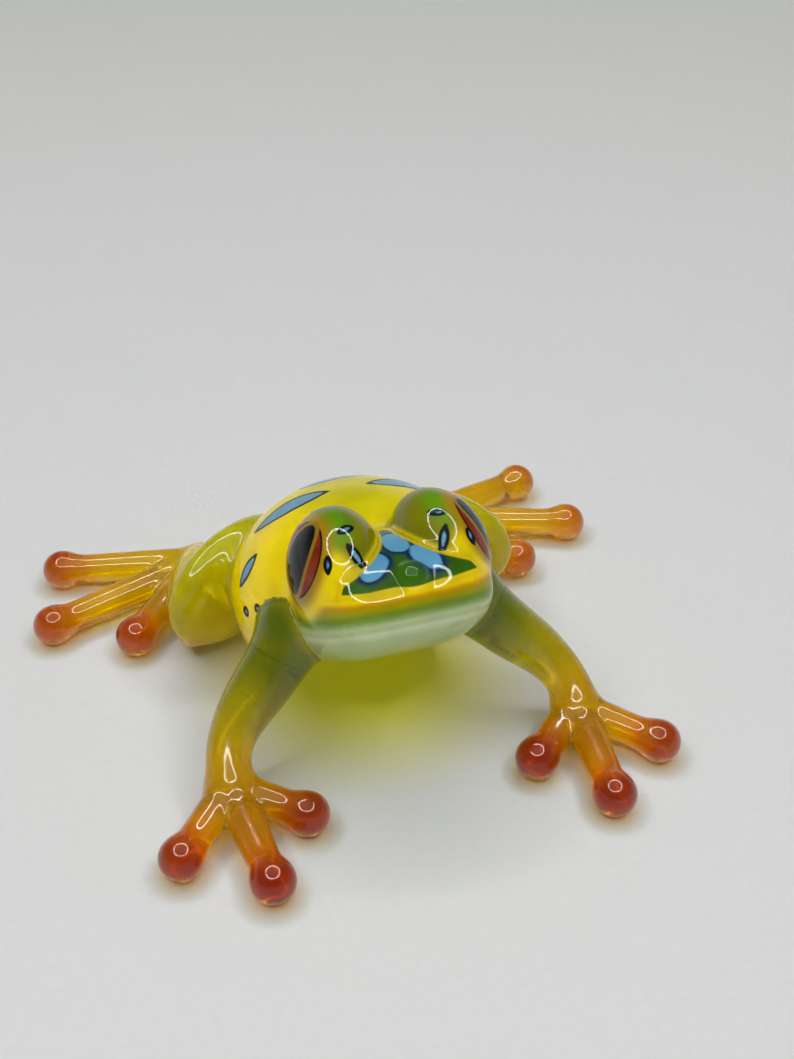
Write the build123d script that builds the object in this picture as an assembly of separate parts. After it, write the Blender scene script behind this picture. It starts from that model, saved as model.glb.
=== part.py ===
from build123d import *
from math import cos, radians, sin, sqrt
import os

# A small sitting frog of hot-worked glass. It faces -Y, its left is +X, and it rests on Z = 0.
# Each gather of glass is a solid of its own that meets its neighbours face to face.
# Lengths are millimetres and angles degrees. Shares are parts of the named sizes they follow.

# Seam between two gathers: their curved faces follow each other this far apart
seam = 0.03

# Torso: an egg with a sloping belly, of opaque glass inside a clear casing
torso_middle_back = 1.2
torso_middle_height = 13.9
torso_half_length = 17.0
torso_half_width = 16.2
torso_half_height = 13.4
torso_tilt = -10
casing_wall = 1.1
belly_drop = 7.15
belly_slope = 36
belly_rim_fillet = 3.0
belly_depth = 1.6

# Spots let into the torso's core, each a chip with a flat underside
spot_depth = 0.8
back_spot_length = 11.0
back_spot_width = 3.4
rump_spot_length = 6.4
rump_spot_width = 2.3
flank_spot_length = 4.8
flank_spot_width = 1.9
shoulder_spot_length = 1.3
shoulder_spot_width = 1.0

# Head: a blunt wedge that points forward and up, set back into the front of the torso
head_set_back = 7.8
head_rise = 5.6
head_tilt = 30
head_half_width = 11.3
head_crown = 8.2
head_drop = 8.2
head_front_length = 16.0
head_back_length = 7.0
lip_ahead = 13.0
lip_rise = 6.5
lip_slope = 32

# Snout: a layer of dark glass under a clear lens, with chips in it and a bead on its tip
lens_wall = 0.7
patch_depth = 0.6
patch_half_width = 8.0
patch_side_ahead = 10.6
patch_front_ahead = 11.8
patch_back_behind = 1.0
patch_base_rise = 6.1
snout_spot_length = 3.4
snout_spot_width = 1.9
nose_ahead = 10.6
nose_rise = 10.3
nose_radius = 1.2

# Eyes: clear domes, each with a round iris and an upright pupil let into its outer side
dome_out = 6.4
dome_ahead = 1.9
dome_rise = 7.1
dome_half_width = 5.5
dome_half_length = 7.6
dome_half_height = 6.8
dome_lean = -12.7
dome_turn = 4.9
eye_depth = 0.6
iris_half_height = 4.6
iris_half_width = 4.4
pupil_half_height = 4.2
pupil_half_width = 2.8
eye_bearing = -2
eye_rise = 28
eye_lean = 18

# Forelegs: a round rod that bows out from the shoulder, inside the torso's side, to the wrist
shoulder_inset = 4.7
shoulder_set_back = 8.1
shoulder_rise = 2.7
upper_bend_outward = 3.6
upper_bend_ahead = 2.9
upper_bend_height = 10.6
lower_bend_outward = 10.2
lower_bend_ahead = 3.8
lower_bend_height = 9.0
wrist_outward = 10.4
wrist_ahead = 9.9
wrist_height = 4.4
shoulder_radius = 3.8
elbow_radius = 3.4
wrist_radius = 2.7

# Front feet: three toes that spread from the hand
hand_half_width = 3.2
hand_half_height = 2.7
hand_height = 3.3
front_outer_toe_length = 11.0
front_middle_toe_length = 14.4
front_inner_toe_length = 9.6
front_outer_toe_bearing = -46
front_middle_toe_bearing = -95
front_inner_toe_bearing = -142

# Hind legs: a deep flat thigh on the torso's side, and a shank from its knee back to the ankle
thigh_inset = 2.8
thigh_set_forward = 4.8
thigh_height = 9.4
thigh_half_length = 11.4
thigh_half_thickness = 3.9
thigh_half_depth = 8.3
thigh_bearing = -31
shank_outward = 4.8
shank_behind = 4.2
shank_height = 4.9
shank_half_length = 9.8
shank_half_thickness = 3.4
shank_half_depth = 4.0
shank_bearing = 106

# Hind feet: three longer toes that spread from the foot behind the ankle
ankle_outward = 2.2
ankle_behind = 12.9
foot_half_width = 3.3
foot_half_height = 2.7
foot_height = 3.3
hind_rear_toe_length = 19.4
hind_middle_toe_length = 22.4
hind_front_toe_length = 16.6
hind_rear_toe_bearing = 17
hind_middle_toe_bearing = -16
hind_front_toe_bearing = -46

# Every toe: a rod that meets a ball in a smooth neck, with the ball flat where it stands
toe_root_radius = 2.35
toe_waist_radius = 1.9
front_ball_radius = 2.7
hind_ball_radius = 2.7
neck_fillet = 2.0
stand_flat = 0.15

# How full the corners of a head section are, and where its widest place lies
corner_share = 0.78
widest_share = 0.47

# Head stations: along, half width, crown and drop
head_station_shares = [
    (-1.00, 0.93, 0.98, 1.00),
    (-0.20, 1.00, 1.00, 0.90),
    (0.30, 1.00, 0.97, 0.76),
    (0.56, 0.97, 0.88, 0.62),
    (0.78, 0.86, 0.72, 0.45),
    (0.91, 0.68, 0.52, 0.28),
    (0.98, 0.38, 0.26, 0.12),
]

# Spots in the snout: where each lies across and along the patch, and its turn
snout_spot_shares = [(0.0, 0.42, 90), (-0.48, 0.74, 60), (0.34, 0.72, 100)]

torso_middle = Vector(0, torso_middle_back, torso_middle_height)
torso_place = Pos(torso_middle) * Rot(X=torso_tilt)
torso_front = torso_half_length - torso_middle_back
torso_back = torso_half_length + torso_middle_back
belly_normal = Vector(0, sin(radians(belly_slope)), cos(radians(belly_slope)))
belly_plane = Plane(torso_middle - belly_normal * belly_drop, x_dir=(1, 0, 0), z_dir=belly_normal)
head_forward = torso_front - head_set_back
head_middle = Vector(0, -head_forward, torso_middle_height + head_rise)
head_axis = Vector(0, -cos(radians(head_tilt)), sin(radians(head_tilt)))
head_plane = Plane(head_middle, x_dir=(1, 0, 0), z_dir=head_axis)
dome_middle = head_middle + Vector(dome_out, -dome_ahead, dome_rise)


def mirrored(form):
    return mirror(form, about=Plane.YZ)


def both_sides(forms):
    return [side for form in forms for side in (form, mirrored(form))]


def ellipsoid(half_x, half_y, half_z, grow=0):
    half_x, half_y, half_z = half_x + grow, half_y + grow, half_z + grow
    return scale(Sphere(half_x), by=(1, half_y / half_x, half_z / half_x))


def section(half_width, top, bottom):
    # Closed rounded outline, fuller at the corners than an ellipse
    widest = bottom + (top - bottom) * widest_share
    right = [
        (0, top),
        (half_width * corner_share, widest + (top - widest) * corner_share),
        (half_width, widest),
        (half_width * corner_share, widest - (widest - bottom) * corner_share),
        (0, bottom),
    ]
    left = [(-x, y) for x, y in reversed(right[1:-1])]
    return make_face(Spline(right + left, periodic=True))


def torso_form(inset):
    # Egg cut along the belly's slope, with the edge of the cut rounded
    egg = torso_place * ellipsoid(
        torso_half_width - inset, torso_half_length - inset, torso_half_height - inset
    )
    form = split(egg, bisect_by=belly_plane.offset(inset), keep=Keep.TOP)
    cut = form.faces().filter_by(GeomType.PLANE).first
    return fillet(cut.edges(), belly_rim_fillet - inset)


def head_form(inset):
    # Loft along the tilted axis from inside the torso to the snout, drawn in by the inset
    sections = []
    for along, width, crown, drop in head_station_shares:
        reach = head_front_length if along > 0 else head_back_length
        outline = section(
            width * (head_half_width - inset),
            crown * (head_crown - inset),
            -drop * (head_drop - inset),
        )
        sections.append(head_plane.offset(along * (reach - inset)) * outline)
    tip = head_plane.offset(head_front_length - inset).origin
    return loft(sections + [Vertex(*tip)])


def dome_form(inset):
    form = ellipsoid(dome_half_width - inset, dome_half_length - inset, dome_half_height - inset)
    return Pos(dome_middle) * Rot(Z=dome_turn) * Rot(Y=dome_lean) * form


def limb_form(path, radii, grow):
    # Round sections at even stations along a smooth path, with a ball at each end
    last = len(radii) - 1
    radii = [radius + grow for radius in radii]
    places = [path.location_at(i / last) for i in range(last + 1)]
    form = loft([place * Circle(radius) for place, radius in zip(places, radii)])
    for place, radius in ((places[0], radii[0]), (places[-1], radii[-1])):
        form += Pos(place.position) * Sphere(radius)
    return form


def toe_form(root, bearing, length, ball_radius):
    # Outline of a rod and a ball, spun about the line from the root to the ball's centre
    reach = Vector(cos(radians(bearing)), sin(radians(bearing)), 0) * length
    tip = Vector(root.X, root.Y, ball_radius - stand_flat) + reach
    span = (tip - root).length
    neck = (toe_waist_radius, span - sqrt(ball_radius**2 - toe_waist_radius**2))
    end = Line((0, 0), (toe_root_radius, 0))
    side = Line((toe_root_radius, 0), neck)
    ball = ThreePointArc(neck, (ball_radius, span), (0, span + ball_radius))
    middle = Line((0, span + ball_radius), (0, 0))
    outline = make_face(Wire([end, side, ball, middle]))
    outline = fillet(outline.vertices().sort_by_distance(Vector(*neck)).first, neck_fillet)
    along = (tip - root).normalized()
    plane = Plane(root, x_dir=along.cross(Vector(0, 0, 1)), z_dir=along)
    spun = plane * Rot(X=90) * revolve(outline, Axis.Y)
    return split(spun, bisect_by=Plane.XY, keep=Keep.TOP)


def outward_plane(middle, bearing, rise):
    # Plane at a form's middle that faces outward along a bearing and a rise, with X level
    level = cos(radians(rise))
    out = Vector(level * cos(radians(bearing)), level * sin(radians(bearing)), sin(radians(rise)))
    return Plane(middle, x_dir=Vector(0, 0, 1).cross(out), z_dir=out)


def almond(length, width):
    # Two equal arcs that meet in points at the ends
    half = length / 2
    upper = ThreePointArc((-half, 0), (0, width / 2), (half, 0))
    lower = ThreePointArc((half, 0), (0, -width / 2), (-half, 0))
    return make_face(Wire([upper, lower]))


def oval(length, width):
    return Ellipse(length / 2, width / 2)


# Spots of one side: shape, length, width, bearing and rise from the torso's middle, and turn
back_spots = [
    (almond, back_spot_length, back_spot_width, 24, 54, 62),
    (almond, rump_spot_length, rump_spot_width, 76, 56, 24),
    (almond, flank_spot_length, flank_spot_width, -2, 22, 80),
    (oval, flank_spot_length, flank_spot_width, 6, -6, 20),
    (oval, shoulder_spot_length, shoulder_spot_width, -12, 6, 0),
    (oval, shoulder_spot_length, shoulder_spot_width, -21, 11, 0),
]


def spot_plane(bearing, rise):
    # Plane that touches the core's egg where the direction from its middle meets it
    wall = casing_wall + seam
    halves = (torso_half_width - wall, torso_half_length - wall, torso_half_height - wall)
    out = outward_plane(Vector(0, 0, 0), bearing, rise).z_dir
    reach = 1 / sqrt(sum((step / half) ** 2 for step, half in zip(out, halves)))
    normal = Vector(*[step / half**2 for step, half in zip(out, halves)])
    level = Vector(0, 0, 1).cross(normal)
    return Plane(torso_place * Plane(out * reach, x_dir=level, z_dir=normal).location)


def torso_parts():
    core = torso_form(casing_wall + seam)
    belly_top = belly_plane.offset(casing_wall + belly_depth)
    back = split(core, bisect_by=belly_top, keep=Keep.TOP)
    prisms = []
    for shape, length, width, bearing, rise, turn in back_spots:
        sag = length**2 / (8 * torso_half_height)
        plane = spot_plane(bearing, rise).offset(-spot_depth - sag) * Rot(Z=turn)
        prisms.append(extrude(plane * shape(length, width), amount=2 * (spot_depth + sag)))
    return {
        "torso_casing": torso_form(0) - torso_form(casing_wall),
        "torso_core": back - both_sides(prisms),
        "belly": split(core, bisect_by=belly_top, keep=Keep.BOTTOM),
        "back_chips": group(both_sides([prism & back for prism in prisms])),
    }


def group(forms):
    return Compound([solid for form in forms for solid in form.solids()])


def eye_parts(torso):
    # The iris and pupil fill a shallow oval recess in the dome
    plane = outward_plane(dome_middle, eye_bearing, eye_rise) * Rot(Z=-eye_lean)
    iris_prism = extrude(plane * Ellipse(iris_half_width, iris_half_height), amount=dome_out)
    pupil_prism = extrude(plane * Ellipse(pupil_half_width, pupil_half_height), amount=dome_out)
    outer = dome_form(0)
    floor = dome_form(eye_depth)
    return {
        "eye_dome": outer - (iris_prism - dome_form(eye_depth + seam)) - torso,
        "eye_iris": (outer & (iris_prism - pupil_prism)) - floor,
        "eye_pupil": (outer & pupil_prism) - floor,
    }


def head_parts(torso):
    # The snout's layers lie in a recess under the prism of the patch's outline
    domes = both_sides([dome_form(-seam)])
    outer = head_form(0)
    outline = Polyline(
        (0, patch_back_behind),
        (patch_half_width, -patch_side_ahead),
        (0, -patch_front_ahead),
        (-patch_half_width, -patch_side_ahead),
        close=True,
    )
    base = Pos(head_middle + Vector(0, 0, patch_base_rise))
    prism = base * extrude(make_face(outline), amount=head_crown) - domes
    layer = (head_form(lens_wall + seam) & prism) - head_form(lens_wall + patch_depth)
    recess = prism - head_form(lens_wall + patch_depth + seam)
    spots = []
    for across, along, turn in snout_spot_shares:
        ahead = along * (patch_front_ahead + patch_back_behind) - patch_back_behind
        spot = extrude(oval(snout_spot_length, snout_spot_width), amount=head_crown)
        spots.append(base * Pos(across * patch_half_width, -ahead, 0) * Rot(Z=turn) * spot)
    lip_normal = (0, sin(radians(lip_slope)), cos(radians(lip_slope)))
    lip_point = head_middle + Vector(0, -lip_ahead, lip_rise)
    lip_plane = Plane(lip_point, x_dir=(1, 0, 0), z_dir=lip_normal)
    whole = outer - [recess, torso] - domes
    bead = Pos(head_middle + Vector(0, -nose_ahead, nose_rise)) * Sphere(nose_radius)
    return {
        "head": split(whole, bisect_by=lip_plane, keep=Keep.TOP),
        "jaw": split(whole, bisect_by=lip_plane, keep=Keep.BOTTOM),
        "snout_lens": (outer & prism) - head_form(lens_wall),
        "snout_patch": layer - spots,
        "snout_chips": group([spot & layer for spot in spots]),
        "nose_bead": bead - head_form(-seam),
    }


def spread_toes(root, toes, ball_radius, carriers):
    # Toes from one root that meet each other on the upright plane midway between them
    forms = [toe_form(root, bearing, length, ball_radius) - carriers for bearing, length in toes]
    bearings = [bearing for bearing, length in toes]
    for i in range(len(toes) - 1):
        midway = radians((bearings[i] + bearings[i + 1]) / 2)
        toward_first = Vector(-sin(midway), cos(midway), 0)
        for place, side in ((i, toward_first), (i + 1, -toward_first)):
            meeting = Plane(root, x_dir=(0, 0, 1), z_dir=side).offset(seam / 2)
            forms[place] = split(forms[place], bisect_by=meeting, keep=Keep.TOP)
    return forms


def foreleg_parts(torso):
    out = torso_half_width - shoulder_inset
    forward = torso_front - shoulder_set_back
    path = Bezier(
        (out, -forward, torso_middle_height + shoulder_rise),
        (out + upper_bend_outward, -forward - upper_bend_ahead, upper_bend_height),
        (out + lower_bend_outward, -forward - lower_bend_ahead, lower_bend_height),
        (out + wrist_outward, -forward - wrist_ahead, wrist_height),
    )
    radii = [shoulder_radius, shoulder_radius, elbow_radius, wrist_radius, wrist_radius]
    middle = Vector(out + wrist_outward, -forward - wrist_ahead, hand_height)
    hand = Pos(middle) * ellipsoid(hand_half_width, hand_half_width, hand_half_height)
    hand_room = Pos(middle) * ellipsoid(hand_half_width, hand_half_width, hand_half_height, seam)
    toes = [
        (front_outer_toe_bearing, front_outer_toe_length),
        (front_middle_toe_bearing, front_middle_toe_length),
        (front_inner_toe_bearing, front_inner_toe_length),
    ]
    carriers = [hand_room, limb_form(path, radii, seam)]
    outer_toe, middle_toe, inner_toe = spread_toes(middle, toes, front_ball_radius, carriers)
    return {
        "foreleg": limb_form(path, radii, 0) - [torso, head_form(-seam), hand_room],
        "hand": hand,
        "front_toe_outer": outer_toe,
        "front_toe_middle": middle_toe,
        "front_toe_inner": inner_toe,
    }


def thigh_form(grow):
    lobe = ellipsoid(thigh_half_length, thigh_half_thickness, thigh_half_depth, grow)
    place = Pos(torso_half_width - thigh_inset, torso_back - thigh_set_forward, thigh_height)
    return place * Rot(Z=thigh_bearing) * lobe


def shank_form(grow):
    lobe = ellipsoid(shank_half_length, shank_half_thickness, shank_half_depth, grow)
    out = torso_half_width - thigh_inset + shank_outward
    back = torso_back - thigh_set_forward + shank_behind
    return Pos(out, back, shank_height) * Rot(Z=shank_bearing) * lobe


def hind_leg_parts(torso):
    out = torso_half_width - thigh_inset + ankle_outward
    back = torso_back - thigh_set_forward + ankle_behind
    middle = Vector(out, back, foot_height)
    foot = Pos(middle) * ellipsoid(foot_half_width, foot_half_width, foot_half_height)
    foot_room = Pos(middle) * ellipsoid(foot_half_width, foot_half_width, foot_half_height, seam)
    thigh_room = thigh_form(seam)
    shank_room = shank_form(seam)
    toes = [
        (hind_rear_toe_bearing, hind_rear_toe_length),
        (hind_middle_toe_bearing, hind_middle_toe_length),
        (hind_front_toe_bearing, hind_front_toe_length),
    ]
    carriers = [foot_room, shank_room, thigh_room]
    rear_toe, middle_toe, front_toe = spread_toes(middle, toes, hind_ball_radius, carriers)
    return {
        "thigh": thigh_form(0) - torso,
        "shank": shank_form(0) - [torso, thigh_room],
        "foot": foot - [thigh_room, shank_room],
        "hind_toe_rear": rear_toe,
        "hind_toe_middle": middle_toe,
        "hind_toe_front": front_toe,
    }


torso_room = torso_form(-seam)
parts = torso_parts() | head_parts(torso_room)
paired = eye_parts(torso_room) | foreleg_parts(torso_room) | hind_leg_parts(torso_room)
for name, form in paired.items():
    parts[name + "_left"] = form
    parts[name + "_right"] = mirrored(form)

os.makedirs("parts", exist_ok=True)
for name, form in parts.items():
    export_step(form, f"parts/{name}.step")
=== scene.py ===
import math

import bpy
import numpy as np
from mathutils import Matrix, Vector


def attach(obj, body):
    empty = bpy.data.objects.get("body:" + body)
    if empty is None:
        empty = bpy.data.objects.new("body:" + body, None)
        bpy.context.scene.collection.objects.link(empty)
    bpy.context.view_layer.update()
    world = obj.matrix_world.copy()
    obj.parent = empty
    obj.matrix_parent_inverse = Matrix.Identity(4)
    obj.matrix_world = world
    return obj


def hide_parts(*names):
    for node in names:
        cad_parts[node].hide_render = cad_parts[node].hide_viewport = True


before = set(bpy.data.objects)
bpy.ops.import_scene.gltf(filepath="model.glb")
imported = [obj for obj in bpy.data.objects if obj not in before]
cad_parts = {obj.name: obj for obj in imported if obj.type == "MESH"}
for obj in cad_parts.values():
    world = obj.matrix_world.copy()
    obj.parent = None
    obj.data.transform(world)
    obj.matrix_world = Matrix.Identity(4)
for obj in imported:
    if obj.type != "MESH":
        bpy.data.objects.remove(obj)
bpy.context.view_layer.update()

# Looks of the glass frog. Shapes are fields of signed distance in millimetres, negative inside.
# Meshes are drawn on the fields and turned to metres. Sizes are the CAD model's, apart from the
# casing, the webs, the head's outline, the nose drop, each eye's bearing, the pupils, the patch
# and the spots of the snout and the domes, which are fitted.
MM = 0.001
BODY = "root"

# FAR is further than matters, and NO_MARK is the distance to a mark where there is none
FAR, NO_MARK = 1e3, 9.0
# These keep divisions and powers finite
TINY, FAINT, SLOPE_FLOOR = 1e-9, 1e-12, 1e-6


# Vectors and turns
def unit(vector):
    vector = np.asarray(vector, float)
    return vector / np.linalg.norm(vector)


def turned(axis, degrees):
    """Rotation matrix about an axis."""
    return np.array(Matrix.Rotation(math.radians(degrees), 3, axis))


def heading(bearing, rise=0):
    """Unit vector along a bearing, raised from level by an angle."""
    level = math.cos(math.radians(rise))
    east, north = math.cos(math.radians(bearing)), math.sin(math.radians(bearing))
    return np.array([east * level, north * level, math.sin(math.radians(rise))])


def upward(lean):
    """Unit vector that leans from straight up towards the tail."""
    return np.array([0, math.sin(math.radians(lean)), math.cos(math.radians(lean))])


def length_of(vectors):
    return np.sqrt(np.einsum("ij,ij->i", vectors, vectors))


def smooth_step(value, start, end):
    """0 where a value is at start, 1 where it is at end, smooth between."""
    share = np.clip((value - start) / (end - start), 0, 1)
    return share * share * (3 - 2 * share)


def both(points):
    """Points of both sides, folded onto the left one."""
    folded = points.copy()
    folded[:, 0] = np.abs(folded[:, 0])
    return folded


# Fields
PROBE = 0.02


def ellipsoid(points, middle, halves, turn=None):
    """First-order distance to an ellipsoid."""
    local = points - middle
    if turn is not None:
        local = local @ turn
    near = length_of(local / halves)
    slope = length_of(local / np.square(halves)) + TINY
    return near * (near - 1) / slope


def rod(points, start, end, start_radius, end_radius):
    """Distance to a round rod with a radius that changes evenly, and the share along it."""
    along = end - start
    share = np.clip((points - start) @ along / (along @ along), 0, 1)
    gap = length_of(points - start - share[:, None] * along)
    return gap - (start_radius + (end_radius - start_radius) * share), share


def join(first, second, reach):
    """Union with a rounded web where the two fields are about equal."""
    blend = np.maximum(reach - np.abs(first - second), 0) / reach
    return np.minimum(first, second) - blend**3 * reach / 6


def meet(first, second, reach):
    """Intersection with a rounded edge."""
    return -join(-first, -second, reach)


def slopes(field, points, probe=PROBE):
    """Slope of a field along each axis."""
    columns = []
    for axis in range(3):
        shift = np.zeros(3)
        shift[axis] = probe
        columns.append((field(points + shift) - field(points - shift)) / (2 * probe))
    return np.stack(columns, 1)


def onto_surface(field, points, limit, rounds):
    """Points moved along a field's slope onto its surface, each round by no more than the limit."""
    for _ in range(rounds):
        slope = slopes(field, points)
        size = np.square(slope).sum(1) + SLOPE_FLOOR
        move = -(field(points) / size)[:, None] * slope
        reach = length_of(move) + TINY
        points = points + move * np.minimum(1, limit / reach)[:, None]
    return points


# Torso, head, domes and nose, in millimetres and degrees
TORSO_MIDDLE = np.array([0, 1.2, 13.9])
TORSO_HALVES = np.array([16.2, 17.0, 13.4])
TORSO_TURN = turned("X", -10)
BELLY_POINT = np.array([0, -14.4, 16.4])
BELLY_NORMAL = upward(36)
BELLY_RIM = 5.0
HEAD_MIDDLE = np.array([0, -8.0, 19.5])
HEAD_UP = upward(30)
HEAD_AXIS = np.array([0, -HEAD_UP[2], HEAD_UP[1]])
HEAD_HALF_WIDTH, HEAD_HALF_HEIGHT = 11.3, 7.79
HEAD_FRONT, HEAD_BACK = 16.0, 7.0
# Height of the wedge's middle line over its axis: at the back, then by the share along it and its square
HEAD_ARCH = (0.41, 2.2, -1.7)
# Powers of the wedge's outlines from above and from the side, and how much fuller it is at the back
PLAN_POWER, SIDE_POWER = 3.3, 1.95
BACK_FULLNESS, FULLNESS_FADE = 1.79, 1.4
HEAD_PROBE, HEAD_LIMIT = 0.05, 6.0
LIP_POINT = np.array([0, -21.0, 26.0])
LIP_NORMAL = upward(32)
DOME_MIDDLE = np.array([6.4, -9.9, 26.6])
DOME_HALVES = np.array([5.5, 7.6, 6.8])
DOME_TURN = turned("Z", 4.9) @ turned("Y", -12.7)
NOSE = np.array([0, -18.4, 29.5])
NOSE_RADIUS = 2.1
HEAD_WEB, DOME_WEB, NOSE_WEB = 1.6, 0.9, 0.6


def torso(points):
    egg = ellipsoid(points, TORSO_MIDDLE, TORSO_HALVES, TORSO_TURN)
    return meet(egg, -(points - BELLY_POINT) @ BELLY_NORMAL, BELLY_RIM)


def head_reach(points):
    """How far out a point lies in the head's wedge: 0 at its back end's middle, 1 on its surface."""
    local = points - HEAD_MIDDLE
    along = np.maximum(local @ HEAD_AXIS, 0) / HEAD_FRONT
    arch = HEAD_ARCH[0] + HEAD_ARCH[1] * along + HEAD_ARCH[2] * along**2
    sideways = np.abs(local[:, 0] / HEAD_HALF_WIDTH)
    upwards = np.abs((local @ HEAD_UP - arch) / HEAD_HALF_HEIGHT)
    plan = (sideways**PLAN_POWER + along**PLAN_POWER) ** (1 / PLAN_POWER)
    side = (upwards**SIDE_POWER + along**SIDE_POWER) ** (1 / SIDE_POWER)
    beyond = np.maximum(np.stack([plan, side]) - along, 0)
    fullness = 1 + BACK_FULLNESS * np.maximum(1 - along, 0) ** FULLNESS_FADE
    return along + (beyond[0] ** fullness + beyond[1] ** fullness + FAINT) ** (1 / fullness)


def head(points):
    """First-order distance to the head's wedge, cut off at its back."""
    steepness = np.sqrt(np.square(slopes(head_reach, points, HEAD_PROBE)).sum(1) + SLOPE_FLOOR)
    wedge = np.clip((head_reach(points) - 1) / steepness, -HEAD_LIMIT, HEAD_LIMIT)
    return np.maximum(wedge, -(points - HEAD_MIDDLE) @ HEAD_AXIS - HEAD_BACK)


def dome(points):
    return ellipsoid(both(points), DOME_MIDDLE, DOME_HALVES, DOME_TURN)


def trunk(points):
    return join(join(torso(points), head(points), HEAD_WEB), dome(points), DOME_WEB)


def body(points):
    return join(trunk(points), length_of(points - NOSE) - NOSE_RADIUS, NOSE_WEB)


# Limbs of the left side, where a toe is a bearing and a length
SHOULDER_TO_WRIST = np.array([
    [11.5, -7.7, 16.6], [15.1, -10.6, 10.6], [21.7, -11.5, 9.0], [21.9, -17.6, 4.4],
])
LIMB_RADII = [3.8, 3.8, 3.4, 2.7, 2.7]
LIMB_PARTS, CURVE_SAMPLES, RADIUS_BLUR = 24, 200, 3
HAND = np.array([21.9, -17.6, 3.3])
HAND_HALVES = np.array([3.2, 3.2, 2.7])
ANKLE = np.array([15.6, 26.3, 3.3])
ANKLE_HALVES = np.array([3.3, 3.3, 2.7])
FRONT_TOES = [(-46, 11.0), (-95, 14.4), (-142, 9.6)]
HIND_TOES = [(17, 19.4), (-16, 22.4), (-46, 16.6)]
TOE_ROOT, TOE_WAIST, BALL, FLAT = 2.35, 1.9, 2.7, 0.15
# The web at a ball's neck swells the ball by as much as is taken off its radius here
NECK_SWELL = 0.085
THIGH = np.array([13.4, 13.4, 9.4])
THIGH_HALVES = np.array([11.4, 3.9, 8.3])
THIGH_TURN = turned("Z", -31)
SHANK = np.array([18.2, 17.6, 4.9])
SHANK_HALVES = np.array([9.8, 3.4, 4.0])
SHANK_TURN = turned("Z", 106)
NECK_WEB, TOE_WEB, PALM_WEB, WRIST_WEB, KNEE_WEB, HEEL_WEB = 1.8, 0.9, 1.2, 1.6, 1.0, 1.2
FLOOR_GAP, FLOOR_RIM = 0.01, 0.25
FLARE_START, FLARE_REACH, PLUG_TAPER = 0.5, 4.5, 0.8


def even_curve(count):
    """Even points along the foreleg's cubic curve."""
    t = np.linspace(0, 1, CURVE_SAMPLES)[:, None]
    a, b, c, d = SHOULDER_TO_WRIST
    path = (1 - t) ** 3 * a + 3 * (1 - t) ** 2 * t * b + 3 * (1 - t) * t**2 * c + t**3 * d
    run = np.concatenate([[0], np.cumsum(length_of(np.diff(path, axis=0)))])
    even = np.linspace(0, run[-1], count)
    return np.stack([np.interp(even, run, path[:, axis]) for axis in range(3)], 1)


def even_radii(count):
    """Radii along the foreleg, averaged over their neighbours."""
    given = np.linspace(0, 1, len(LIMB_RADII))
    radii = np.interp(np.linspace(0, 1, count), given, LIMB_RADII)
    window = 2 * RADIUS_BLUR + 1
    return np.convolve(np.pad(radii, RADIUS_BLUR, "edge"), np.ones(window) / window, "valid")


LIMB_POINTS = even_curve(LIMB_PARTS + 1)
LIMB_THICKNESS = even_radii(LIMB_PARTS + 1)


def limb(points):
    """Distance to the foreleg's rod and the share along it."""
    best = np.full(len(points), FAR)
    where = np.zeros(len(points))
    for i in range(LIMB_PARTS):
        gap, share = rod(points, *LIMB_POINTS[i:i + 2], *LIMB_THICKNESS[i:i + 2])
        closer = gap < best
        best = np.where(closer, gap, best)
        where = np.where(closer, (i + share) / LIMB_PARTS, where)
    return best, where


def toe_tips(root, toes):
    """Middles of the balls."""
    return [np.array([root[0], root[1], BALL - FLAT]) + heading(bearing) * length for bearing, length in toes]


def toes_field(points, root, toes):
    """Distance to the rods and balls, and the share along the nearest toe."""
    field = np.full(len(points), FAR)
    where = np.zeros(len(points))
    for tip in toe_tips(root, toes):
        gap, share = rod(points, root, tip, TOE_ROOT, TOE_WAIST)
        toe = join(gap, length_of(points - tip) - (BALL - NECK_SWELL), NECK_WEB)
        where = np.where(toe < field, share, where)
        field = join(field, toe, TOE_WEB)
    return field, where


def floor_cut(points, field):
    """A field cut flat just over the floor."""
    return meet(field, FLOOR_GAP - points[:, 2], FLOOR_RIM)


def foreleg(points):
    toes = toes_field(points, HAND, FRONT_TOES)[0]
    hand = join(toes, ellipsoid(points, HAND, HAND_HALVES), PALM_WEB)
    return floor_cut(points, join(hand, limb(points)[0], WRIST_WEB))


def hind_lobes(points):
    """Distances to the thigh and the shank."""
    thigh = ellipsoid(points, THIGH, THIGH_HALVES, THIGH_TURN)
    return thigh, ellipsoid(points, SHANK, SHANK_HALVES, SHANK_TURN)


def hind_leg(points):
    toes = toes_field(points, ANKLE, HIND_TOES)[0]
    foot = join(toes, ellipsoid(points, ANKLE, ANKLE_HALVES), PALM_WEB)
    return floor_cut(points, join(foot, join(*hind_lobes(points), KNEE_WEB), HEEL_WEB))


def seated(limb_field):
    """A limb's field that flares where it meets the body, and tapers to a plug inside it."""
    def field(points):
        depth = body(points)
        flared = join(limb_field(points), np.maximum(depth, 0) + FLARE_START, FLARE_REACH)
        return flared - PLUG_TAPER * np.minimum(depth, 0)
    return field


# Meshes from fields
CORNERS = [(i, j, k) for i in (0, 1) for j in (0, 1) for k in (0, 1)]
SIDES = ((0, 1), (1, 2), (2, 3), (3, 0))
RELAX, RELAX_ROUNDS = 0.6, 2


def crossed_cells(inside):
    """Places of the grid's cells that have corners on both sides of the surface."""
    cells = tuple(n - 1 for n in inside.shape)
    count = np.zeros(cells, int)
    for i, j, k in CORNERS:
        count += inside[i:i + cells[0], j:j + cells[1], k:k + cells[2]]
    return np.argwhere((count > 0) & (count < len(CORNERS)))


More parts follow.
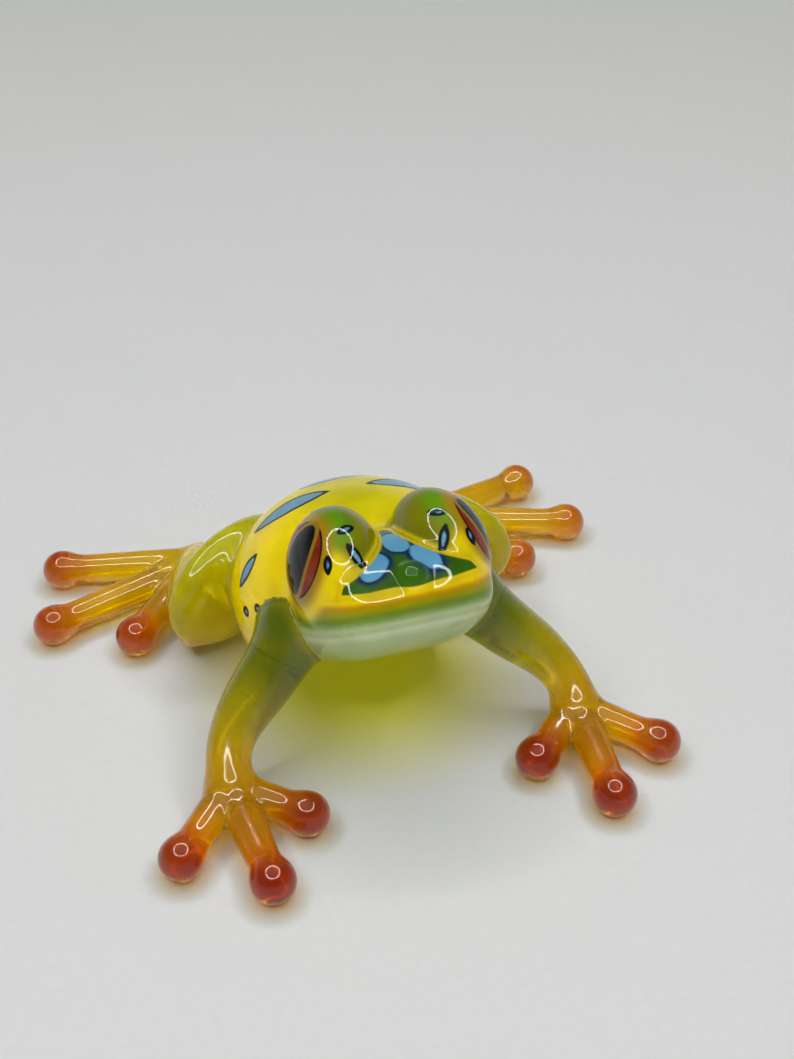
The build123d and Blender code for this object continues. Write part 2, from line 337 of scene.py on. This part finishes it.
def mean_crossings(values, where):
    """Mean of the places where each cell's edges cross the surface, counted in cells."""
    total = np.zeros((len(where), 3))
    hits = np.zeros(len(where))
    for start in CORNERS:
        for axis in range(3):
            if start[axis]:
                continue
            end = list(start)
            end[axis] = 1
            first = values[tuple((where + start).T)]
            second = values[tuple((where + end).T)]
            crossing = (first < 0) != (second < 0)
            share = np.where(crossing, first / np.where(crossing, first - second, 1), 0)
            place = np.array(start) + np.zeros((len(where), 3))
            place[:, axis] += share
            total += place * crossing[:, None]
            hits += crossing
    return where + total / hits[:, None]


def quads_across(inside, where):
    """A quad for each grid edge that crosses the surface, between the points of its four cells."""
    index = np.full([n - 1 for n in inside.shape], -1)
    index[tuple(where.T)] = np.arange(len(where))
    quads = []
    for axis in range(3):
        u, v = (axis + 1) % 3, (axis + 2) % 3
        here = [slice(None)] * 3
        here[u] = here[v] = slice(1, -1)
        before, after = list(here), list(here)
        before[axis], after[axis] = slice(0, -1), slice(1, None)
        first, second = inside[tuple(before)], inside[tuple(after)]
        spots = np.argwhere(first != second)
        leaving = first[tuple(spots.T)]
        spots[:, u] += 1
        spots[:, v] += 1
        step_u, step_v = np.eye(3, dtype=int)[u], np.eye(3, dtype=int)[v]
        shifts = (step_u + step_v, step_v, 0 * step_u, step_u)
        ring = np.stack([index[tuple((spots - shift).T)] for shift in shifts], 1)
        quads.append(np.where(leaving[:, None], ring, ring[:, ::-1]))
    return np.concatenate(quads)


def relaxed(field, points, quads, step):
    """Points drawn towards the mean of their neighbours and back onto the surface, for even quads."""
    for _ in range(RELAX_ROUNDS):
        around = np.zeros_like(points)
        degree = np.zeros(len(points))
        for a, b in SIDES:
            np.add.at(around, quads[:, a], points[quads[:, b]])
            np.add.at(degree, quads[:, a], 1)
        drawn = points * (1 - RELAX) + RELAX * around / degree[:, None]
        points = onto_surface(field, drawn, step, rounds=2)
    return points


def surface(field, low, high, step):
    """Points and quads on the surface of a field, from an even grid."""
    axes = [np.arange(a, b + step, step) for a, b in zip(low, high)]
    grid = np.stack(np.meshgrid(*axes, indexing="ij"), -1)
    values = field(grid.reshape(-1, 3)).reshape(grid.shape[:3])
    where = crossed_cells(values < 0)
    quads = quads_across(values < 0, where)
    points = mean_crossings(values, where) * step + np.array([axis[0] for axis in axes])
    points = onto_surface(field, points, step, rounds=3)
    return relaxed(field, points, quads, step), quads


def make_piece(name, points, quads, material, slot, nodes, values):
    """Object from points in millimetres, with a value at each point for each named attribute."""
    mesh = bpy.data.meshes.new(name)
    mesh.from_pydata((points * MM).tolist(), [], quads.tolist())
    mesh.validate()
    mesh.polygons.foreach_set("use_smooth", [True] * len(mesh.polygons))
    for key, value in values.items():
        if value.ndim == 2:
            layer = mesh.attributes.new(key, "FLOAT_COLOR", "POINT")
            layer.data.foreach_set("color", np.column_stack([value, np.ones(len(value))]).ravel())
        else:
            layer = mesh.attributes.new(key, "FLOAT", "POINT")
            layer.data.foreach_set("value", value.ravel())
    mesh.materials.append(material)
    piece = bpy.data.objects.new(name, mesh)
    bpy.context.scene.collection.objects.link(piece)
    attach(piece, BODY)
    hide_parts(*nodes)


# Colours are given as they show on a screen, 0 to 255, and turned to the linear values of a shader
def shown(red, green, blue):
    value = np.array([red, green, blue]) / 255
    return np.where(value <= 0.04045, value / 12.92, ((value + 0.055) / 1.055) ** 2.4)


def mixed(first, second, share):
    return first + (second - first) * share[:, None]


def stops(value, table):
    """Colour along a table of values and colours."""
    keys = [key for key, _ in table]
    shades = np.array([shown(*shade) for _, shade in table])
    return np.stack([np.interp(value, keys, shades[:, i]) for i in range(3)], 1)


# Marks as signed distances on the surface
MARK_DEPTH = 3.2


def mark_frame(middle, normal, turn):
    """Middle, normal, and level and rising directions on a surface, turned."""
    normal = unit(normal)
    level = unit(np.cross([0, 0, 1], normal))
    rising = np.cross(normal, level)
    c, s = math.cos(math.radians(turn)), math.sin(math.radians(turn))
    return middle, normal, level * c + rising * s, rising * c - level * s


def almond(u, v, length, width):
    radius = (length**2 + width**2) / (4 * width)
    drop = radius - width / 2
    return np.maximum(np.hypot(u, v + drop), np.hypot(u, v - drop)) - radius


def oval(u, v, length, width):
    near = np.sqrt((2 * u / length) ** 2 + (2 * v / width) ** 2)
    slope = np.sqrt((4 * u / length**2) ** 2 + (4 * v / width**2) ** 2) + TINY
    return near * (near - 1) / slope


def on_ellipsoid(middle, halves, turn, bearing, rise):
    """Point and normal where a direction from an ellipsoid's middle leaves it."""
    out = heading(bearing, rise)
    local = out / np.sqrt(np.sum(np.square(out / halves)))
    return middle + turn @ local, turn @ (local / np.square(halves))


def spot_distance(points, middle, halves, turn, spots):
    """Distance to the nearest of the spots on an ellipsoid."""
    best = np.full(len(points), NO_MARK)
    for shape, length, width, bearing, rise, lean in spots:
        place = on_ellipsoid(middle, halves, turn, bearing, rise)
        centre, normal, across, rising = mark_frame(*place, lean)
        local = points - centre
        gap = shape(local @ across, local @ rising, length, width)
        best = np.minimum(best, np.where(np.abs(local @ normal) < MARK_DEPTH, gap, NO_MARK))
    return best


def polygon_distance(u, v, corners):
    """Signed distance to a closed outline, negative inside."""
    best = np.full(len(u), FAR)
    inside = np.zeros(len(u), bool)
    for i, (ax, ay) in enumerate(corners):
        bx, by = corners[(i + 1) % len(corners)]
        dx, dy = bx - ax, by - ay
        share = np.clip(((u - ax) * dx + (v - ay) * dy) / (dx * dx + dy * dy), 0, 1)
        best = np.minimum(best, np.hypot(u - ax - share * dx, v - ay - share * dy))
        crosses = ((ay > v) != (by > v)) & (u < (bx - ax) * (v - ay) / (by - ay + FAINT) + ax)
        inside ^= crosses
    return np.where(inside, -best, best)


# Spots: shape, length, width, bearing and rise from the ellipsoid's middle, and turn
TORSO_SPOTS = [
    (almond, 11.0, 3.4, 24, 54, 62),
    (almond, 6.4, 2.3, 76, 56, 24),
    (almond, 4.8, 1.9, -2, 22, 80),
    (oval, 4.8, 1.9, 6, -6, 20),
    (oval, 1.3, 1.0, -12, 6, 0),
    (oval, 1.3, 1.0, -21, 11, 0),
]
DOME_SPOTS = [
    (almond, 3.8, 1.2, -98, 48, 84),
    (almond, 2.6, 1.1, -80, 78, 20),
    (almond, 2.4, 1.0, -60, 34, 70),
    (oval, 1.5, 0.8, -80, 8, 50),
]
# On a dome, spots show only this high over the lip plane, and DOME_EDGE is how near counts as on it
DOME_SPOT_LIFT, DOME_EDGE = 2.0, 0.25

# Snout spots: shares across and along the field that they lie in, and turn
SNOUT_SPOTS = [(0.02, 0.42, 90), (-0.46, 0.76, 60), (0.32, 0.76, 100)]
SNOUT_TOP, SNOUT_FIELD, SNOUT_SPOT = -7.0, (8.0, 11.5), (5.2, 3.5)
PATCH = np.array([[0, -7.2], [8.8, -18.4], [0, -26.0], [-8.8, -18.4]])
PATCH_LIFT, PATCH_GAP = 4.2, 0.4

# Eyes: width and height of the ovals, and each side's bearing
IRIS = (8.8, 9.2)
PUPIL = (4.6, 8.4)
EYE_BEARINGS = {1: -12, -1: -1}
EYE_RISE, EYE_LEAN, EYE_FRONT = 28, -18, 0.5


def body_spots(points, on_dome, lift):
    """Distance to the spots of the torso, and on the domes to their own."""
    folded = both(points)
    domed = on_dome < DOME_EDGE
    on_torso = spot_distance(folded, TORSO_MIDDLE, TORSO_HALVES, TORSO_TURN, TORSO_SPOTS)
    on_domes = spot_distance(folded, DOME_MIDDLE, DOME_HALVES, DOME_TURN, DOME_SPOTS)
    high = domed & (lift > DOME_SPOT_LIFT)
    return np.where(high, on_domes, np.where(domed, NO_MARK, on_torso))


def snout_spots(points):
    best = np.full(len(points), NO_MARK)
    for across, along, turn in SNOUT_SPOTS:
        c, s = math.cos(math.radians(turn)), math.sin(math.radians(turn))
        u = points[:, 0] - across * SNOUT_FIELD[0]
        v = points[:, 1] - SNOUT_TOP + along * SNOUT_FIELD[1]
        best = np.minimum(best, oval(u * c + v * s, v * c - u * s, *SNOUT_SPOT))
    return best


def snout_patch(points, on_dome, lift):
    """Distance to the green patch, which keeps above the lips and off the domes."""
    outline = polygon_distance(points[:, 0], points[:, 1], PATCH)
    return np.maximum(np.maximum(outline, PATCH_LIFT - lift), PATCH_GAP - on_dome)


def eyes(points):
    """Distances to the iris and the pupil of the eye on a point's own side."""
    iris = np.full(len(points), NO_MARK)
    pupil = np.full(len(points), NO_MARK)
    for side, bearing in EYE_BEARINGS.items():
        folded = points * [side, 1, 1]
        middle, normal, across, rising = mark_frame(DOME_MIDDLE, heading(bearing, EYE_RISE), EYE_LEAN)
        local = folded - middle
        u, v = local @ across, local @ rising
        faces = (local @ normal > EYE_FRONT) & (folded[:, 0] > 0)
        iris = np.where(faces, oval(u, v, *IRIS), iris)
        pupil = np.where(faces, oval(u, v, *PUPIL), pupil)
    return iris, pupil


# Tones of the torso by height, as a share of its half height
TORSO_TONES = [
    (-0.7, (180, 170, 40)), (-0.3, (244, 212, 0)), (0.15, (255, 228, 0)),
    (0.7, (255, 228, 0)), (0.9, (240, 220, 0)), (1.0, (212, 204, 0)),
]
BELLY_TONE = (182, 188, 124)
# Tones of the head by height over the lip plane
FACE_TONES = [
    (-9, (160, 172, 100)), (-4, (176, 194, 128)), (-2.2, (190, 208, 150)), (-1.3, (222, 232, 196)),
    (-0.9, (188, 206, 150)), (-0.3, (198, 216, 164)), (0.3, (136, 168, 72)), (1.0, (112, 138, 0)),
    (1.8, (160, 160, 0)), (2.6, (200, 148, 0)), (3.2, (255, 216, 0)), (5.0, (250, 216, 0)),
    (7, (214, 200, 0)),
]
DOME_TONE, DOME_FRONT_TONE, DOME_TOP_TONE = (130, 128, 0), (255, 226, 0), (96, 160, 0)
DOME_FRONT, DOME_TOP = np.array([0.9, -0.7, 0]), np.array([0.2, 0, 1])
EYE_RING_TONE, BORDER_TONE = (176, 136, 8), (232, 206, 6)
BORDER_MIDDLE = 0.45
# Tones of the limbs by share along the foreleg or a toe, and of the haunch by height
ARM_TONES = [
    (0.0, (88, 124, 0)), (0.25, (146, 156, 0)), (0.5, (198, 186, 0)), (0.75, (228, 194, 0)),
    (1.0, (244, 186, 0)),
]
FLARE_TONE = (196, 190, 20)
FRONT_TOE_TONES = [(0, (250, 196, 0)), (0.5, (255, 188, 0)), (1, (255, 176, 0))]
HIND_TOE_TONES = [(0, (250, 218, 0)), (0.4, (255, 210, 0)), (1, (255, 194, 0))]
HAUNCH_TONES = [(0, (240, 210, 10)), (6, (236, 210, 0)), (12, (220, 206, 0)), (18, (200, 200, 10))]
# Painted highlight: a brighter amber along the fold where the thigh and the shank meet, for light bent in the
# glass
CREASE_GLINT_TONE, CREASE_GLINT_SHARE = (250, 186, 0), 0.75
# How clear the toes are, and how much less the arm and the haunch
TOE_CLEAR, ARM_CLOUD, HAUNCH_CLOUD = 0.8, 0.15, 0.45


def torso_paint(points):
    rise = (points - TORSO_MIDDLE) @ TORSO_TURN[:, 2] / TORSO_HALVES[2]
    under = smooth_step(-(points - BELLY_POINT) @ BELLY_NORMAL, start=-2.6, end=-0.2)
    return mixed(stops(rise, TORSO_TONES), shown(*BELLY_TONE), under)


def dome_paint(points, iris):
    """Olive, yellow towards the outer front, green on top and brown round the eye."""
    local = both(points) - DOME_MIDDLE
    olive = np.tile(shown(*DOME_TONE), (len(points), 1))
    paint = mixed(olive, shown(*DOME_FRONT_TONE), smooth_step(local @ DOME_FRONT, start=2.4, end=4.8))
    paint = mixed(paint, shown(*DOME_TOP_TONE), smooth_step(local @ DOME_TOP, start=5.2, end=6.8))
    return mixed(paint, shown(*EYE_RING_TONE), smooth_step(iris, start=1.8, end=0.3))


def body_values(points):
    """What is painted on the core: colour, and distances to the spots, eyes, patch and its spots."""
    points = onto_surface(trunk, points, limit=2.0, rounds=3)
    on_dome = dome(points)
    lift = (points - LIP_POINT) @ LIP_NORMAL
    iris, pupil = eyes(points)
    patch = snout_patch(points, on_dome, lift)
    on_head = smooth_step(torso(points) - head(points), start=-0.6, end=1.4)
    paint = mixed(torso_paint(points), stops(lift, FACE_TONES), on_head)
    paint = mixed(paint, dome_paint(points, iris), smooth_step(on_dome, start=0.9, end=0.05))
    edge = smooth_step(np.abs(patch - BORDER_MIDDLE), start=0.6, end=0.2)
    off_dome = smooth_step(on_dome, start=0.03, end=0.2)
    paint = mixed(paint, shown(*BORDER_TONE), edge * off_dome * (lift > 0))
    return {
        "paint": paint, "spot": body_spots(points, on_dome, lift), "iris": iris, "pupil": pupil,
        "patch": patch, "blob": snout_spots(points),
    }


TIP_SIDE, TIP_BACK, NO_TIP = 3.2, -8.0, -9.0


def toe_values(points, root, toes, cooler):
    """Toes' field, share along the nearest, reach past the ball's middle, and height above it.

    The red of the tips starts later by as much as they are cooler.
    """
    field, where = toes_field(points, root, toes)
    tip_reach = np.full(len(points), NO_TIP)
    for (bearing, length), tip in zip(toes, toe_tips(root, toes)):
        reach = (points - tip) @ heading(bearing)
        beside = np.abs((points - tip) @ heading(bearing + 90))
        near = (beside < TIP_SIDE) & (reach > TIP_BACK)
        tip_reach = np.where(near, np.maximum(tip_reach, reach), tip_reach)
    return field, where, tip_reach - cooler, points[:, 2] - (BALL - FLAT)


def foreleg_values(points, cooler):
    """Colour, reach past the ball's middle, height above it, and how clear the glass is."""
    field, where, tip, rise = toe_values(points, HAND, FRONT_TOES, cooler)
    gap, along = limb(points)
    flare = smooth_step(gap, start=0.15, end=1.1)
    arm = mixed(stops(along, ARM_TONES), shown(*FLARE_TONE), flare)
    share = smooth_step(field - gap, start=-1.5, end=2.0)
    paint = mixed(stops(where, FRONT_TOE_TONES), arm, share)
    return {"paint": paint, "tip": tip, "rise": rise, "clear": TOE_CLEAR - ARM_CLOUD * share}


def hind_leg_values(points, cooler):
    """Colour, reach past the ball's middle, height above it, and how clear the glass is."""
    field, where, tip, rise = toe_values(points, ANKLE, HIND_TOES, cooler)
    thigh, shank = hind_lobes(points)
    # Painted highlight along the fold between the thigh and the shank
    crease_glint = smooth_step(np.abs(thigh - shank), start=1.6, end=0.1)
    haunch = mixed(stops(points[:, 2], HAUNCH_TONES), shown(*CREASE_GLINT_TONE), CREASE_GLINT_SHARE * crease_glint)
    share = smooth_step(field - np.minimum(thigh, shank), start=-1.5, end=2.5)
    paint = mixed(stops(where, HIND_TOE_TONES), haunch, share)
    return {"paint": paint, "tip": tip, "rise": rise, "clear": TOE_CLEAR - HAUNCH_CLOUD * share}


# Nodes of materials
def add(tree, kind, inputs=None, **settings):
    """Node with its settings, and its sockets set to values or linked to other nodes' sockets."""
    node = tree.nodes.new(kind)
    for key, value in settings.items():
        setattr(node, key, value)
    for key, value in (inputs or {}).items():
        socket = node.inputs[key]
        if isinstance(value, bpy.types.NodeSocket):
            tree.links.new(value, socket)
        else:
            socket.default_value = value
    return node


def colour(red, green, blue):
    return (*shown(red, green, blue), 1)


def blend_colours(tree, share, first, second):
    return add(tree, "ShaderNodeMix", {0: share, 6: first, 7: second}, data_type="RGBA").outputs[2]


def field_share(tree, source, start, end):
    """0 where a value is at start, 1 where it is at end, smooth between."""
    inputs = {"Value": source, "From Min": start, "From Max": end}
    return add(tree, "ShaderNodeMapRange", inputs, interpolation_type="SMOOTHSTEP").outputs[0]


def attribute(tree, name, output="Fac"):
    return add(tree, "ShaderNodeAttribute", attribute_name=name).outputs[output]


def noise(tree, scale, detail=2.0):
    place = add(tree, "ShaderNodeTexCoord").outputs["Object"]
    return add(tree, "ShaderNodeTexNoise", {"Vector": place, "Scale": scale, "Detail": detail}).outputs["Fac"]


def arithmetic(tree, operation, first, second):
    return add(tree, "ShaderNodeMath", {0: first, 1: second}, operation=operation).outputs[0]


def warped(tree, source, scale, amount):
    """A value shifted a little by noise, so that its edge wanders as in drawn glass."""
    shift = arithmetic(tree, "SUBTRACT", noise(tree, scale), 0.5)
    return arithmetic(tree, "ADD", source, arithmetic(tree, "MULTIPLY", shift, amount))


def cloudy(tree, shade, scale, dim):
    """A colour that is dimmer in soft clouds."""
    cloud = field_share(tree, noise(tree, scale, detail=3), start=0.35, end=0.7)
    darker = add(tree, "ShaderNodeHueSaturation", {"Color": shade, "Value": dim}).outputs[0]
    return blend_colours(tree, cloud, shade, darker)


def mottled(tree, scale, first, second, detail=2.0):
    return blend_colours(tree, noise(tree, scale, detail), colour(*first), colour(*second))


def seen_rays(tree):
    """1 for rays that show the background itself: straight, mirrored or through glass."""
    ray = add(tree, "ShaderNodeLightPath").outputs
    seen = arithmetic(tree, "ADD", ray["Is Camera Ray"], ray["Is Glossy Ray"])
    return arithmetic(tree, "MINIMUM", arithmetic(tree, "ADD", seen, ray["Is Transmission Ray"]), 1.0)


def new_material(name):
    material = bpy.data.materials.new(name)
    material.use_nodes = True
    material.node_tree.nodes.clear()
    return material, material.node_tree


def finish_material(tree, inputs):
    shader = add(tree, "ShaderNodeBsdfPrincipled", inputs)
    tree.links.new(shader.outputs[0], add(tree, "ShaderNodeOutputMaterial").inputs[0])


# Materials of the frog
def core_material():
    """Opaque coloured glass with the painted colours, marks that are drawn from their distances, and a
    painted glow that stands in for light coming through the glass.
    """
    material, tree = new_material("coloured_glass")
    patch = warped(tree, attribute(tree, "patch"), scale=260, amount=0.5)
    blob = warped(tree, attribute(tree, "blob"), scale=240, amount=1.6)
    spot = warped(tree, attribute(tree, "spot"), scale=500, amount=0.25)
    iris, pupil = attribute(tree, "iris"), attribute(tree, "pupil")
    green = mottled(tree, 300, (18, 62, 0), (70, 122, 4))
    green = blend_colours(tree, field_share(tree, blob, 0.9, 0.0), green, colour(8, 40, 84))
    green = blend_colours(tree, field_share(tree, blob, 0.0, -0.35), green, colour(96, 164, 206))
    blue = mottled(tree, 380, (80, 136, 176), (124, 182, 216))
    red = mottled(tree, 700, (88, 14, 2), (166, 58, 22), detail=4)
    shade = cloudy(tree, attribute(tree, "paint", "Color"), scale=220, dim=0.88)
    for distance, start, end, tone in (
        (patch, 0.12, -0.12, green),
        (spot, 0.22, 0.08, colour(10, 16, 14)),
        (spot, -0.2, -0.42, blue),
        (iris, 0.1, -0.05, colour(26, 22, 6)),
        (iris, -0.15, -0.3, red),
        (pupil, 0.7, 0.5, colour(150, 118, 10)),
        (pupil, 0.2, 0.0, colour(6, 9, 8)),
    ):
        shade = blend_colours(tree, field_share(tree, distance, start, end), shade, tone)
    # The emission is a painted glow of the core's own colour, standing in for light that comes through the
    # glass
    finish_material(tree, {
        "Base Color": shade, "Roughness": 0.6, "IOR": 1.5, "Specular IOR Level": 0.0,
        "Emission Color": shade, "Emission Strength": 0.2,
    })
    return material


def casing_material():
    material, tree = new_material("clear_glass")
    finish_material(tree, {
        "Base Color": (1, 1, 1, 1), "Roughness": 0.0, "IOR": 1.4, "Transmission Weight": 1.0,
    })
    return material


def limb_material(name, tip_dark, tip_light, spread):
    """Amber glass that reddens over a spread of millimetres to the tips. Beneath the tips the glass is clear,
    and the pale floor seen through it is painted, with a speckled edge.
    """
    material, tree = new_material(name)
    tip = warped(tree, attribute(tree, "tip"), scale=420, amount=2.0)
    shade = cloudy(tree, attribute(tree, "paint", "Color"), scale=260, dim=0.86)
    shade = blend_colours(tree, field_share(tree, tip, -spread, -0.8), shade, colour(*tip_light))
    shade = blend_colours(tree, field_share(tree, tip, -spread * 0.6, 1.2), shade, colour(*tip_dark))
    # Beneath the tips the glass is clear; the floor seen through it is painted as pale cream, with a speckled
    # edge
    edge_speckle = arithmetic(tree, "SUBTRACT", noise(tree, 2600, detail=1), 0.5)
    low = arithmetic(tree, "ADD", attribute(tree, "rise"), arithmetic(tree, "MULTIPLY", edge_speckle, 2.6))
    beneath, at_tip = field_share(tree, low, -0.5, -1.5), field_share(tree, tip, -3.5, -1.0)
    shade = blend_colours(tree, arithmetic(tree, "MULTIPLY", beneath, at_tip), shade, colour(244, 214, 160))
    finish_material(tree, {
        "Base Color": shade, "Roughness": 0.12, "IOR": 1.4, "Transmission Weight": attribute(tree, "clear"),
        "Coat Weight": 1.0, "Coat Roughness": 0.01, "Coat IOR": 1.36, "Specular IOR Level": 0.0,
    })
    return material


# Pieces
STEP = 0.4
CASING = 0.9
BODY_ROOM = ((-18, -26, 0), (18, 20, 36))
FORELEG_ROOM = ((6, -36, -1), (34, 0, 22))
HIND_LEG_ROOM = ((2, 2, -1), (41, 36, 20))
HIND_COOLER = 2.4
CASING_NODES = ["torso_casing", "snout_lens", "nose_bead", "eye_dome_left", "eye_dome_right"]
CORE_NODES = [
    "torso_core", "belly", "back_chips", "head", "jaw", "snout_patch", "snout_chips",
    "eye_iris_left", "eye_iris_right", "eye_pupil_left", "eye_pupil_right",
]
FORELEG_NODES = ["foreleg", "hand", "front_toe_outer", "front_toe_middle", "front_toe_inner"]
HIND_LEG_NODES = ["thigh", "shank", "foot", "hind_toe_rear", "hind_toe_middle", "hind_toe_front"]


def core(points):
    """Field of the opaque core, the thickness of the clear casing below the surface."""
    return trunk(points) + CASING


def make_body():
    casing = surface(body, *BODY_ROOM, STEP)
    make_piece("clear_casing", *casing, casing_material(), "clear_glass", CASING_NODES, {})
    points, quads = surface(core, *BODY_ROOM, STEP)
    values = body_values(points)
    make_piece("coloured_core", points, quads, core_material(), "yellow_glass", CORE_NODES, values)


def make_legs(name, field, room, material, nodes, values, left_cooler=0.0):
    """The left leg and its mirror image, with tips that redden later by left_cooler on the left."""
    points, quads = surface(seated(field), *room, STEP)
    for side, cooler in (("left", left_cooler), ("right", 0.0)):
        side_nodes = [f"{node}_{side}" for node in nodes]
        shades = values(both(points), cooler)
        make_piece(f"{name}_{side}", points, quads, material, "amber_glass", side_nodes, shades)
        points, quads = points * [-1, 1, 1], quads[:, ::-1]


make_body()
front_glass = limb_material("foreleg_glass", (176, 44, 0), (240, 122, 0), spread=5.0)
hind_glass = limb_material("hind_leg_glass", (200, 66, 0), (244, 136, 0), spread=5.5)
make_legs("foreleg_glass", foreleg, FORELEG_ROOM, front_glass, FORELEG_NODES, foreleg_values)
make_legs("hind_leg_glass", hind_leg, HIND_LEG_ROOM, hind_glass, HIND_LEG_NODES, hind_leg_values, HIND_COOLER)


# Floor, lamp, room and camera
FLOOR_REACH, FLOOR_FINE, FLOOR_CELL = 3000.0, 60.0, 1.0
GLOW_MIDDLE, GLOW_HALVES = [0, 1.5, 0], [19, 20, 1]
GLASS_GLOW, BACKDROP_GLOW = 0.4, 0.66
RING_MIDDLE, RING_RADIUS, RING_TUBE = (-0.02, -0.04, 0.42), 0.25, 0.0125
RING_TURNS, RING_SIDES, RING_STRENGTH = 96, 12, 17.0
ROOM_LIGHT, LOW_LIGHT, LOW_SEEN, HIGH_LIGHT = 0.12, 0.24, 0.26, 0.5
CAMERA_PLACE, CAMERA_PITCH, CAMERA_YAW = (-0.043877, -0.144022, 0.132775), 35.961, 18.549
CAMERA_LENS, CAMERA_SENSOR, CAMERA_CLIP = 52.01, 36, 0.002


def stage_mesh(name, vertices, faces, material):
    mesh = bpy.data.meshes.new(name)
    mesh.from_pydata(vertices, [], faces)
    mesh.materials.append(material)
    thing = bpy.data.objects.new(name, mesh)
    bpy.context.scene.collection.objects.link(thing)
    return thing


def floor_material():
    """Pale paint, tinted and lit where light comes through the glass, and a backdrop far off."""
    material, tree = new_material("floor_paint")
    under = attribute(tree, "under")
    tone = mottled(tree, 900, (207, 210, 212), (215, 217, 219), detail=4)
    tone = blend_colours(tree, under, tone, colour(214, 208, 60))
    tone = blend_colours(tree, attribute(tree, "beside"), tone, colour(214, 204, 170))
    place = add(tree, "ShaderNodeTexCoord").outputs["Object"]
    away = add(tree, "ShaderNodeVectorMath", {0: place}, operation="LENGTH").outputs["Value"]
    far = field_share(tree, away, start=0.05, end=1.1)
    backdrop = arithmetic(tree, "MULTIPLY", arithmetic(tree, "MULTIPLY", far, BACKDROP_GLOW), seen_rays(tree))
    glass_glow = arithmetic(tree, "MULTIPLY", under, GLASS_GLOW)
    finish_material(tree, {
        "Base Color": tone, "Roughness": 0.55,
        "Emission Color": blend_colours(tree, far, colour(150, 150, 0), colour(214, 218, 220)),
        "Emission Strength": arithmetic(tree, "ADD", glass_glow, backdrop),
    })
    return material


def make_floor():
    """One grid, fine in the middle, with attributes for the coloured light by the frog."""
    fine = np.arange(-FLOOR_FINE, FLOOR_FINE + FLOOR_CELL, FLOOR_CELL)
    line = np.concatenate([[-FLOOR_REACH], fine, [FLOOR_REACH]])
    count = len(line)
    flat = np.meshgrid(line, line, indexing="ij") + [np.zeros((count, count))]
    points = np.stack(flat, -1).reshape(-1, 3)
    first = np.arange(count * count).reshape(count, count)
    squares = np.stack([first[:-1, :-1], first[1:, :-1], first[1:, 1:], first[:-1, 1:]], -1).reshape(-1, 4)
    floor = stage_mesh("floor", (points * MM).tolist(), squares.tolist(), floor_material())
    from_body = length_of((points - GLOW_MIDDLE) / GLOW_HALVES)
    from_limbs = np.minimum(foreleg(both(points)), hind_leg(both(points)))
    for key, value in (
        ("under", smooth_step(from_body, start=1.3, end=0.2)),
        ("beside", smooth_step(from_limbs, start=2.6, end=0.0)),
    ):
        floor.data.attributes.new(key, "FLOAT", "POINT").data.foreach_set("value", value)


def make_ring_lamp():
    material, tree = new_material("ring_glow")
    glow = add(tree, "ShaderNodeEmission", {"Color": (1, 0.98, 0.94, 1), "Strength": RING_STRENGTH})
    tree.links.new(glow.outputs[0], add(tree, "ShaderNodeOutputMaterial").inputs[0])
    x, y, z = RING_MIDDLE
    vertices, faces = [], []
    for i in range(RING_TURNS):
        a = 2 * math.pi * i / RING_TURNS
        for j in range(RING_SIDES):
            b = 2 * math.pi * j / RING_SIDES
            out = RING_RADIUS + RING_TUBE * math.cos(b)
            vertices.append((x + out * math.cos(a), y + out * math.sin(a), z + RING_TUBE * math.sin(b)))
            here, after = i * RING_SIDES, (i + 1) % RING_TURNS * RING_SIDES
            above = (j + 1) % RING_SIDES
            faces.append((here + j, after + j, after + above, here + above))
    stage_mesh("ring_lamp", vertices, faces, material)


def make_room():
    """Dim all round, with a low and a high band that are brighter."""
    world = bpy.data.worlds.new("soft_room")
    world.use_nodes = True
    tree = world.node_tree
    tree.nodes.clear()
    direction = add(tree, "ShaderNodeTexCoord").outputs["Generated"]
    height = add(tree, "ShaderNodeSeparateXYZ", {0: direction}).outputs[2]
    seen = arithmetic(tree, "MULTIPLY", seen_rays(tree), LOW_SEEN)
    low_light = arithmetic(tree, "ADD", seen, LOW_LIGHT)
    low = arithmetic(tree, "MULTIPLY", field_share(tree, height, start=0.45, end=0.0), low_light)
    high = arithmetic(tree, "MULTIPLY", field_share(tree, height, start=0.7, end=1.0), HIGH_LIGHT)
    strength = arithmetic(tree, "ADD", arithmetic(tree, "ADD", low, high), ROOM_LIGHT)
    room = add(tree, "ShaderNodeBackground", {"Color": (0.96, 0.98, 1.0, 1), "Strength": strength})
    tree.links.new(room.outputs[0], add(tree, "ShaderNodeOutputWorld").inputs[0])
    bpy.context.scene.world = world


def make_camera():
    data = bpy.data.cameras.new("camera")
    data.lens = CAMERA_LENS
    data.sensor_width = CAMERA_SENSOR
    data.clip_start = CAMERA_CLIP
    camera = bpy.data.objects.new("camera", data)
    ahead = Vector(heading(90 - CAMERA_YAW, -CAMERA_PITCH))
    right = Vector(heading(-CAMERA_YAW))
    place = Matrix((right, right.cross(ahead), -ahead)).transposed().to_4x4()
    place.translation = CAMERA_PLACE
    camera.matrix_world = place
    bpy.context.scene.collection.objects.link(camera)
    bpy.context.scene.camera = camera


make_floor()
make_ring_lamp()
make_room()
make_camera()
bpy.context.scene.view_settings.view_transform = "Standard"
